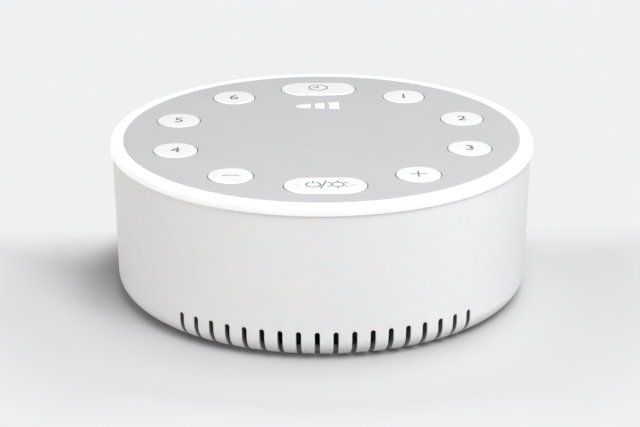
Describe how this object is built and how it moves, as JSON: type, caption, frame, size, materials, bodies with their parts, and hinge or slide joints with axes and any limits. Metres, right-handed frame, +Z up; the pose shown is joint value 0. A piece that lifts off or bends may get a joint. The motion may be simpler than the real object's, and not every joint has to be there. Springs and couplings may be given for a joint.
{
  "type": "white noise sound machine",
  "caption": "Round bedside white noise machine: slotted drum with a down-facing speaker, a glowing rim, and sprung sound, volume, timer and power keys on top.",
  "frame": {"origin": "centre of the drum on the plane that the rubber feet stand on", "axes": "+Z up along the drum's axis; -Y is the front, with the sound slots and the power key; +X is the right side seen from the front"},
  "size_m": [0.13, 0.13, 0.0488],
  "materials": {
    "white_shell": "moulded white plastic, satin",
    "white_base": "moulded white plastic, fine texture",
    "opal_ring": "opal diffuser, satin, lit white",
    "grey_panel": "moulded light grey plastic, matt",
    "white_key": "moulded white keys, satin",
    "opal_pipe": "opal light pipe, lit white",
    "silicone_mat": "translucent silicone",
    "circuit_board": "green solder mask",
    "light_chip": "light chips with yellow gel",
    "chip_black": "moulded chip packages",
    "capacitor_can": "bare cans",
    "socket_nylon": "natural nylon",
    "small_screw": "plated steel",
    "black_screw": "black oxide",
    "base_screw": "plated steel",
    "black_plastic": "black moulded plastic",
    "black_foam": "closed cell foam",
    "pressed_steel": "painted pressed steel",
    "black_rubber": "rubber roll",
    "cone_paper": "coated paper cone",
    "copper_coil": "enamelled copper",
    "spider_cloth": "resin cloth",
    "plated_steel": "zinc plated",
    "ferrite": "dark grey ferrite",
    "terminal_brass": "solder tags",
    "grey_rubber": "grey rubber feet",
    "contact_metal": "plated contact pin",
    "red_wire": "red insulated wire",
    "black_wire": "black insulated wire"
  },
  "bodies": {
    "root": {"housing": "white_shell", "light_ring": "opal_ring", "fascia": "grey_panel", "level_light_pipe": "opal_pipe", "dome_mat": "silicone_mat", "control_board": "circuit_board", "ring_leds": "light_chip", "level_leds": "light_chip", "chips": "chip_black", "capacitors": "capacitor_can", "board_sockets": "socket_nylon", "board_screws": "small_screw", "baffle": "black_plastic", "speaker_gasket": "black_foam", "speaker_basket": "pressed_steel", "speaker_surround": "black_rubber", "spider": "spider_cloth", "front_plate": "plated_steel", "magnet": "ferrite", "yoke": "plated_steel", "speaker_terminals": "terminal_brass", "speaker_screws": "black_screw", "base_cover": "white_base", "base_screws": "base_screw", "feet": "grey_rubber", "inlet_board": "circuit_board", "inlet_jack": "black_plastic", "inlet_pin": "contact_metal", "inlet_screws": "small_screw", "speaker_wires": "red_wire", "power_wires": "black_wire"},
    "key_power": {"key_power": "white_key"},
    "key_volume_up": {"key_volume_up": "white_key"},
    "key_sound_3": {"key_sound_3": "white_key"},
    "key_sound_2": {"key_sound_2": "white_key"},
    "key_sound_1": {"key_sound_1": "white_key"},
    "key_timer": {"key_timer": "white_key"},
    "key_sound_6": {"key_sound_6": "white_key"},
    "key_sound_5": {"key_sound_5": "white_key"},
    "key_sound_4": {"key_sound_4": "white_key"},
    "key_volume_down": {"key_volume_down": "white_key"},
    "cone": {"speaker_cone": "cone_paper", "dust_cap": "cone_paper", "voice_coil": "copper_coil"}
  },
  "joints": [
    {"name": "press_power", "type": "slide", "parent": "root", "child": "key_power", "axis": [0, 0, -1], "range_m": [0, 0.0008], "stiffness_N_per_m": 1100, "deforming": ["dome_mat"]},
    {"name": "press_volume_up", "type": "slide", "parent": "root", "child": "key_volume_up", "axis": [0, 0, -1], "range_m": [0, 0.0008], "stiffness_N_per_m": 1100, "deforming": ["dome_mat"]},
    {"name": "press_sound_3", "type": "slide", "parent": "root", "child": "key_sound_3", "axis": [0, 0, -1], "range_m": [0, 0.0008], "stiffness_N_per_m": 1100, "deforming": ["dome_mat"]},
    {"name": "press_sound_2", "type": "slide", "parent": "root", "child": "key_sound_2", "axis": [0, 0, -1], "range_m": [0, 0.0008], "stiffness_N_per_m": 1100, "deforming": ["dome_mat"]},
    {"name": "press_sound_1", "type": "slide", "parent": "root", "child": "key_sound_1", "axis": [0, 0, -1], "range_m": [0, 0.0008], "stiffness_N_per_m": 1100, "deforming": ["dome_mat"]},
    {"name": "press_timer", "type": "slide", "parent": "root", "child": "key_timer", "axis": [0, 0, -1], "range_m": [0, 0.0008], "stiffness_N_per_m": 1100, "deforming": ["dome_mat"]},
    {"name": "press_sound_6", "type": "slide", "parent": "root", "child": "key_sound_6", "axis": [0, 0, -1], "range_m": [0, 0.0008], "stiffness_N_per_m": 1100, "deforming": ["dome_mat"]},
    {"name": "press_sound_5", "type": "slide", "parent": "root", "child": "key_sound_5", "axis": [0, 0, -1], "range_m": [0, 0.0008], "stiffness_N_per_m": 1100, "deforming": ["dome_mat"]},
    {"name": "press_sound_4", "type": "slide", "parent": "root", "child": "key_sound_4", "axis": [0, 0, -1], "range_m": [0, 0.0008], "stiffness_N_per_m": 1100, "deforming": ["dome_mat"]},
    {"name": "press_volume_down", "type": "slide", "parent": "root", "child": "key_volume_down", "axis": [0, 0, -1], "range_m": [0, 0.0008], "stiffness_N_per_m": 1100, "deforming": ["dome_mat"]},
    {"name": "cone_stroke", "type": "slide", "parent": "root", "child": "cone", "axis": [0, 0, -1], "range_m": [-0.0008, 0.0008], "stiffness_N_per_m": 1200, "deforming": ["speaker_surround", "spider"]}
  ]
}
